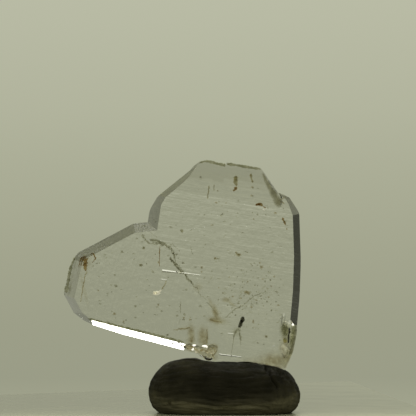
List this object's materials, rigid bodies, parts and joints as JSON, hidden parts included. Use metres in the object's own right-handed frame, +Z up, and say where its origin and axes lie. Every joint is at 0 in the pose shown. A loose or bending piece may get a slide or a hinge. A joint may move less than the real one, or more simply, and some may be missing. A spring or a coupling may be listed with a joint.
{
  "type": "japan law twin quartz",
  "caption": "Clear flattened quartz crystals grown together at a right angle in a heart shape, standing in a lump of dark mounting putty.",
  "frame": {"origin": "on the flat underside of the putty, below the middle of the whole object's box", "axes": "+Z up, +X to the right along the plate, +Y away from the viewer through the plate's thickness"},
  "size_m": [0.0177, 0.0086, 0.0189],
  "materials": {
    "quartz": "clear, with glossy natural faces",
    "putty": "matte, with the prints of the fingers that pressed it"
  },
  "bodies": {
    "root": {"quartz_twin": "quartz", "putty_base": "putty"}
  },
  "joints": []
}
